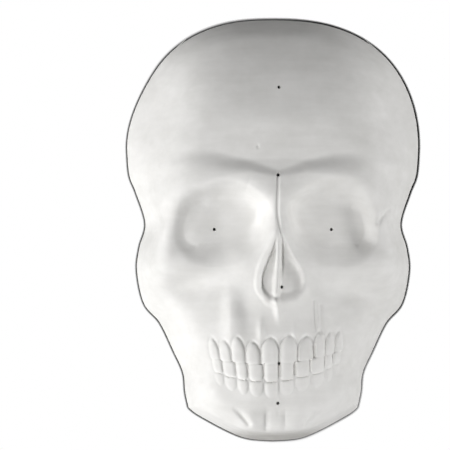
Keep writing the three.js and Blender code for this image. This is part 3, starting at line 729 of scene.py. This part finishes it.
def outline_sides(across, down, inset):
    """The four sides of the outline, moved inwards: crown, right, chin and left."""
    def both_halves(line):
        """Places from left to right along a line, given from the middle to the right."""
        points = evenly(line, np.abs(1 - 2 * across))
        points[:, 0] *= np.where(across < 0.5, -1, 1)
        return points

    crown = both_halves(CROWN_LINE)
    right = evenly(FLANK_LINE, down)
    chin = both_halves(CHIN_LINE[::-1])
    left = right * [-1, 1]
    # Once round, so that each place is moved square to its neighbours' direction
    loop = np.vstack([crown[:-1], right[:-1], chin[:0:-1], left[:0:-1]])
    before, after = np.roll(loop, 1, axis=0), np.roll(loop, -1, axis=0)
    inward = np.column_stack([after[:, 1] - before[:, 1], before[:, 0] - after[:, 0]])
    loop = loop + inset * inward / np.linalg.norm(inward, axis=1, keepdims=True)
    loop = np.vstack([loop, loop[0]])
    wide, tall = len(across) - 1, len(down) - 1
    crown = loop[:wide + 1]
    right = loop[wide:wide + tall + 1]
    chin = loop[wide + tall:2 * wide + tall + 1][::-1]
    left = loop[2 * wide + tall:][::-1]
    return crown, right, chin, left


def drawn_in(x, y):
    """The cranium's top as it was sculpted: a little narrower than a true oval, and more so at the
    left."""
    above = ease(CRANIUM_WIDEST_Y, CROWN_Y - 25, y)
    return x * (1 - above * (LEFT_DRAW * ease(0, -40, x) + RIGHT_DRAW * ease(0, 40, x)))


def blanket(name, across, down, inset, height):
    """A grid laid over the outline and pressed to `height`."""
    wide, tall = len(across) - 1, len(down) - 1
    bpy.ops.object.select_all(action="DESELECT")
    bpy.ops.mesh.primitive_grid_add(x_subdivisions=wide, y_subdivisions=tall, size=2)
    piece = bpy.context.object
    piece.name = name
    flat = np.empty(len(piece.data.vertices) * 3)
    piece.data.vertices.foreach_get("co", flat)
    flat = flat.reshape(-1, 3)
    # The column and the row of every corner of the grid
    i = np.rint((flat[:, 0] + 1) / 2 * wide).astype(int)
    j = np.rint((1 - flat[:, 1]) / 2 * tall).astype(int)
    # Each corner goes between the four sides, so that the rows and columns follow the outline
    crown, right, chin, left = outline_sides(across, down, inset)
    u, v = across[i][:, None], down[j][:, None]
    ends = crown[i] * (1 - v) + chin[i] * v
    sides = left[j] * (1 - u) + right[j] * u
    top = left[0] * (1 - u) + right[0] * u
    bottom = left[-1] * (1 - u) + right[-1] * u
    x, y = (ends + sides - (top * (1 - v) + bottom * v)).T
    pressed = np.column_stack([drawn_in(x, y), y, height(x, y)]) * MM
    piece.data.vertices.foreach_set("co", pressed.ravel())
    piece.data.update()
    return piece


def skirt(piece, rounding):
    """Draws the edge of a blanket straight down to the shelf, as the wall of the rim."""
    select_only(piece)
    bpy.ops.object.mode_set(mode="EDIT")
    bpy.ops.mesh.select_all(action="DESELECT")
    bpy.ops.mesh.select_mode(type="EDGE")
    bpy.ops.mesh.select_non_manifold()
    bpy.ops.mesh.extrude_region_move()
    bpy.ops.transform.resize(value=(1, 1, 0), center_override=(0, 0, 0))
    bpy.ops.object.mode_set(mode="OBJECT")
    if rounding:
        round_lip(piece, rounding)
    return piece


def round_lip(piece, rounding):
    """Rounds the corner between the face and the wall of the rim: its edges have an upright face at
    one side alone."""
    rises = {}
    for polygon in piece.data.polygons:
        for key in polygon.edge_keys:
            rises.setdefault(key, []).append(abs(polygon.normal.z))
    for edge in piece.data.edges:
        beside = rises[edge.key]
        edge.select = len(beside) == 2 and min(beside) < UPRIGHT < max(beside)
    bpy.ops.object.mode_set(mode="EDIT")
    bpy.ops.mesh.bevel(offset=rounding * MM, segments=3, affect="EDGES")
    bpy.ops.object.mode_set(mode="OBJECT")


# Places of the vents: the forehead, the crease between the brows, both sockets, the opening of the
# nose, the bite, and the chin
VENTS = [
    (0.9, CROWN_Y - 35),
    (-0.2, BROW_CREST_Y - 3.8),
    (0.6 - SOCKET_X, SOCKET_Y - 2.5),
    (SOCKET_X - 4.6, SOCKET_Y - 2.5),
    (1.9, NOSE_BASE_Y + 8.2),
    (0.6, BITE_Y),
    (0.2, CHIN_Y + 20),
]


def drill_vents(piece):
    """Seven small holes, drilled straight down, that let the air out from under the glass."""
    drills = []
    for x, y in VENTS:
        bpy.ops.object.select_all(action="DESELECT")
        bpy.ops.mesh.primitive_cylinder_add(
            vertices=20, radius=VENT_DIAMETER / 2 * MM, depth=2 * FULL_HEIGHT * MM,
            location=(x * MM, y * MM, FULL_HEIGHT * MM))
        drills.append(bpy.context.object)
    select_only(*drills)
    bpy.ops.object.join()
    drill = bpy.context.object
    select_only(piece)
    cut = piece.modifiers.new("vents", "BOOLEAN")
    cut.operation = "DIFFERENCE"
    cut.solver = "EXACT"
    cut.object = drill
    bpy.ops.object.modifier_apply(modifier=cut.name)
    bpy.data.objects.remove(drill)


def shell():
    """The two faces of the shell, joined round the rim."""
    fine = [spread(bands, 1) for bands in (COLUMN_BANDS, ROW_BANDS)]
    coarse = [spread(bands, HOLLOW_COARSENESS) for bands in (COLUMN_BANDS, ROW_BANDS)]
    face = skirt(blanket("skull_shell", *fine, 0, face_height), LIP_ROUND)
    hollow = skirt(blanket("skull_hollow", *coarse, WALL, hollow_height), 0)
    hollow.data.flip_normals()
    select_only(face, hollow)
    bpy.ops.object.join()
    bpy.ops.object.mode_set(mode="EDIT")
    bpy.ops.mesh.select_all(action="DESELECT")
    bpy.ops.mesh.select_mode(type="EDGE")
    bpy.ops.mesh.select_non_manifold()
    bpy.ops.mesh.bridge_edge_loops()
    bpy.ops.mesh.select_all(action="SELECT")
    bpy.ops.mesh.normals_make_consistent(inside=False)
    bpy.ops.mesh.select_all(action="DESELECT")
    bpy.ops.object.mode_set(mode="OBJECT")
    drill_vents(face)
    select_only(face)
    bpy.ops.object.shade_smooth_by_angle(angle=math.radians(SMOOTH_ANGLE))
    return face


# Finish

def linear(code):
    """An sRGB hex colour as linear values."""
    channels = [int(code[i:i + 2], 16) / 255 for i in (1, 3, 5)]
    return [c / 12.92 if c <= 0.04045 else ((c + 0.055) / 1.055) ** 2.4 for c in channels] + [1]


def node(tree, kind, settings=None, links=None):
    """Adds a node. `settings` holds its properties and the values of its inputs, and `links` says
    which outputs its other inputs come from."""
    made = tree.nodes.new(kind)
    for key, value in (settings or {}).items():
        if isinstance(key, str) and hasattr(made, key):
            setattr(made, key, value)
        else:
            made.inputs[key].default_value = value
    for key, source in (links or {}).items():
        tree.links.new(source, made.inputs[key])
    return made


# Sizes of the patterns in the bisque: the clouds, the sponge's streaks across the face, the tooth
# of the plaster with its depth, and the marks of the knife along the chin's bevel. Real tooth is
# finer, and is drawn as coarse as it needs to show.
CLOUD_SIZE = 16.667
STREAK_WIDTH, STREAK_LENGTH = 3.846, 32.05
TOOTH_SIZE, TOOTH_DEPTH = 0.7143, 0.2
SCRAPE_WIDTH, SCRAPE_LENGTH = 0.7692, 12.82
# The bevel's painted shade, a greyer tint streaked by scraping, is full below the second of these
# lines, and none above the first
BEVEL_SHADE_FROM_Y = CHIN_Y + 6.7
BEVEL_SHADE_TO_Y = CHIN_Y + 2.9


def white_bisque():
    """Slip-cast earthenware fired once to bisque and left unglazed: chalk white, dead matt, with a
    fine tooth from the plaster it was cast in and faint clouds where the slip dried unevenly."""
    material = bpy.data.materials.new("white_bisque")
    material.use_nodes = True
    tree = material.node_tree
    tree.nodes.clear()
    place = node(tree, "ShaderNodeTexCoord").outputs["Object"]
    clouds = node(
        tree, "ShaderNodeTexNoise",
        {"Scale": 1 / (CLOUD_SIZE * MM), "Detail": 4, "Roughness": 0.6}, {"Vector": place})
    # A damp sponge was drawn across the dry clay, which leaves soft streaks
    wiped = node(
        tree, "ShaderNodeMapping", {"Scale": (STREAK_WIDTH / STREAK_LENGTH, 1, 1)},
        {"Vector": place})
    streaks = node(
        tree, "ShaderNodeTexNoise", {"Scale": 1 / (STREAK_WIDTH * MM), "Detail": 2},
        {"Vector": wiped.outputs["Vector"]})
    patches = node(
        tree, "ShaderNodeMix", {"data_type": "FLOAT", "Factor": 0.3},
        {"A": clouds.outputs["Fac"], "B": streaks.outputs["Fac"]})
    tint = node(tree, "ShaderNodeValToRGB", links={"Fac": patches.outputs["Result"]})
    # The chin's bevel is tinted greyer as painted shade, standing in for the shade on its steep
    # face, and streaked along the edge where it was scraped with a knife
    height = node(tree, "ShaderNodeSeparateXYZ", links={"Vector": place}).outputs["Y"]
    bevel_shade = node(
        tree, "ShaderNodeMapRange",
        {"From Min": BEVEL_SHADE_FROM_Y * MM, "From Max": BEVEL_SHADE_TO_Y * MM}, {"Value": height})
    dragged = node(
        tree, "ShaderNodeMapping", {"Scale": (SCRAPE_WIDTH / SCRAPE_LENGTH, 1, 1)},
        {"Vector": place})
    marks = node(
        tree, "ShaderNodeTexNoise", {"Scale": 1 / (SCRAPE_WIDTH * MM), "Detail": 3},
        {"Vector": dragged.outputs["Vector"]})
    shade_and_scrape_tint = node(tree, "ShaderNodeValToRGB", links={"Fac": marks.outputs["Fac"]})
    for ramp, stops in (
        (tint.color_ramp, ((0.3, "#E0DFDC"), (0.72, "#F0EFED"))),
        (shade_and_scrape_tint.color_ramp, ((0.35, "#BDBBB7"), (0.65, "#D3D1CD"))),
    ):
        for element, (position, code) in zip(ramp.elements, stops):
            element.position = position
            element.color = linear(code)
    # The painted shade on the bevel is mixed in here by height
    # Inputs 6 and 7 and output 2 are this node's colours
    colour = node(
        tree, "ShaderNodeMix", {"data_type": "RGBA"},
        {"Factor": bevel_shade.outputs["Result"], 6: tint.outputs["Color"],
         7: shade_and_scrape_tint.outputs["Color"]})
    grain = node(
        tree, "ShaderNodeTexNoise", {"Scale": 1 / (TOOTH_SIZE * MM), "Detail": 3},
        {"Vector": place})
    tooth = node(
        tree, "ShaderNodeBump", {"Strength": 0.12, "Distance": TOOTH_DEPTH * MM},
        {"Height": grain.outputs["Fac"]})
    clay = node(
        tree, "ShaderNodeBsdfPrincipled",
        {"Roughness": 0.92, "IOR": 1.5, "Specular IOR Level": 0.35},
        {"Base Color": colour.outputs[2], "Normal": tooth.outputs["Normal"]})
    node(tree, "ShaderNodeOutputMaterial", links={"Surface": clay.outputs["BSDF"]})
    return material


# Half the width and height of the oval under the mould where the paper stays dark
DARK_OVAL = (50, 98)
# The contact shadow's reach and strength, where the light comes from and at the far side
LIT_CONTACT = (1.2, 6)
FAR_CONTACT = (1.8, 16)
# Per metre to the right and to the crown the far side's shadow takes over by these shares, from its
# share in the middle
FAR_GAIN = (9, 3, 0)
FAR_SHARE = 0.45


def pale_floor():
    """Matt white paper. The camera sees it pure white, as in a picture cut out on white, with only
    the thin dark line that the mould's rim leaves on it."""
    material = bpy.data.materials.new("white_paper")
    material.use_nodes = True
    tree = material.node_tree
    tree.nodes.clear()
    place = node(tree, "ShaderNodeTexCoord").outputs["Object"]
    # What the camera sees, at first hand or by way of something that shines or is clear
    path = node(tree, "ShaderNodeLightPath").outputs
    mirrored = node(
        tree, "ShaderNodeMath", {"operation": "ADD"},
        {0: path["Is Glossy Ray"], 1: path["Is Transmission Ray"]})
    seen = node(
        tree, "ShaderNodeMath", {"operation": "ADD", "use_clamp": True},
        {0: path["Is Camera Ray"], 1: mirrored.outputs[0]})
    # Under the mould it doesn't glow, so that the vents look down into the dark
    oval = node(
        tree, "ShaderNodeMapping",
        {"Scale": (1 / (DARK_OVAL[0] * MM), 1 / (DARK_OVAL[1] * MM), 0)}, {"Vector": place})
    apart = node(
        tree, "ShaderNodeVectorMath", {"operation": "LENGTH"}, {0: oval.outputs["Vector"]})
    outside = node(
        tree, "ShaderNodeMath", {"operation": "GREATER_THAN", 1: 1}, {0: apart.outputs["Value"]})
    white = node(
        tree, "ShaderNodeMath", {"operation": "MULTIPLY"},
        {0: seen.outputs[0], 1: outside.outputs[0]})
    # How much light gets into the corner between the paper and the rim. The light comes from the
    # left and from the chin, so the shadow is wider at the right and the crown.
    corners = []
    for reach, strength in (LIT_CONTACT, FAR_CONTACT):
        close = node(tree, "ShaderNodeAmbientOcclusion", {"samples": 16, "Distance": reach * MM})
        corners.append(node(
            tree, "ShaderNodeMath", {"operation": "POWER", 1: strength},
            {0: close.outputs["AO"]}).outputs[0])
    away = node(
        tree, "ShaderNodeVectorMath", {"operation": "DOT_PRODUCT", 1: FAR_GAIN}, {0: place})
    far = node(
        tree, "ShaderNodeMath", {"operation": "ADD", "use_clamp": True, 1: FAR_SHARE},
        {0: away.outputs["Value"]})
    shadow = node(
        tree, "ShaderNodeMix", {"data_type": "FLOAT"},
        {"Factor": far.outputs[0], "A": corners[0], "B": corners[1]})
    paper = node(tree, "ShaderNodeBsdfDiffuse", {"Color": linear("#C8C8C8")})
    glow = node(
        tree, "ShaderNodeEmission", {"Color": linear("#FFFFFF")},
        {"Strength": shadow.outputs["Result"]})
    surface = node(
        tree, "ShaderNodeMixShader",
        links={0: white.outputs[0], 1: paper.outputs[0], 2: glow.outputs[0]})
    node(tree, "ShaderNodeOutputMaterial", links={"Surface": surface.outputs[0]})
    return material


# Stage

# Soft lamps: the bearing and the height in degrees that each shines from, its size in metres, and
# how bright it makes bisque that faces it
LAMPS = [
    ("left_wall", 184, 9, (1.4, 0.4), 0.36),
    ("right_wall", 4, 9, (1.4, 0.4), 0.52),
    ("left_lamp", 203, 28, (0.9, 0.9), 0.2),
    ("top_lamp", 235, 58, (1.2, 1.2), 0.49),
]
LAMP_DISTANCE = 2.3
BISQUE_SHARE = 0.8
ROOM_LEVEL = 0.03


def lamp(name, bearing, height, size, level):
    """A soft lamp aimed at the mould, bright enough to light bisque that faces it to `level`."""
    data = bpy.data.lights.new(name, "AREA")
    data.shape = "RECTANGLE"
    data.size, data.size_y = size
    data.energy = math.pi ** 2 * LAMP_DISTANCE ** 2 * level / BISQUE_SHARE
    across, up = math.radians(bearing), math.radians(height)
    holder = bpy.data.objects.new(name, data)
    holder.location = LAMP_DISTANCE * Vector(
        (math.cos(up) * math.cos(across), math.cos(up) * math.sin(across), math.sin(up)))
    holder.rotation_euler = (-holder.location).to_track_quat("-Z", "Y").to_euler()
    bpy.context.scene.collection.objects.link(holder)


def studio():
    """The floor, the faint light of the room, and the lamps."""
    bpy.ops.object.select_all(action="DESELECT")
    bpy.ops.mesh.primitive_plane_add(size=6)
    floor = bpy.context.object
    floor.name = "floor"
    floor.data.materials.append(pale_floor())
    world = bpy.data.worlds.new("room")
    bpy.context.scene.world = world
    world.use_nodes = True
    room = world.node_tree.nodes["Background"].inputs
    room["Color"].default_value = linear("#FFFFFF")
    room["Strength"].default_value = ROOM_LEVEL
    for settings in LAMPS:
        lamp(*settings)


# The camera looks down from 3 m, a little from the left. The middle of the photograph lies on the
# shelf at VIEW_CENTRE, and VIEW_WIDTH of the shelf fills the picture.
CAMERA_PLACE = Vector((-0.210, 0.0, 3.0))
VIEW_CENTRE = Vector((-0.0245, 0.0028, 0.0))
PICTURE_PIXELS = 450
PIXEL_SIZE = 0.5144
VIEW_WIDTH = PIXEL_SIZE * PICTURE_PIXELS * MM
SENSOR_WIDTH = 36


def camera():
    """A camera with the photograph's view, and the picture's top towards the crown."""
    data = bpy.data.cameras.new("camera")
    data.sensor_width = SENSOR_WIDTH
    data.lens = SENSOR_WIDTH * (CAMERA_PLACE - VIEW_CENTRE).length / VIEW_WIDTH
    data.clip_start, data.clip_end = 0.1, 20
    holder = bpy.data.objects.new("camera", data)
    holder.location = CAMERA_PLACE
    back = (CAMERA_PLACE - VIEW_CENTRE).normalized()
    across = Vector((0, 1, 0)).cross(back).normalized()
    holder.rotation_mode = "QUATERNION"
    axes = Matrix((across, back.cross(across), back)).transposed()
    holder.rotation_quaternion = axes.to_quaternion()
    bpy.context.scene.collection.objects.link(holder)
    bpy.context.scene.camera = holder


camera()
studio()
mould = shell()
mould.data.materials.clear()
mould.data.materials.append(white_bisque())
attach(mould, "root")
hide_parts("mould_shell")
bpy.context.scene.view_settings.view_transform = "Standard"
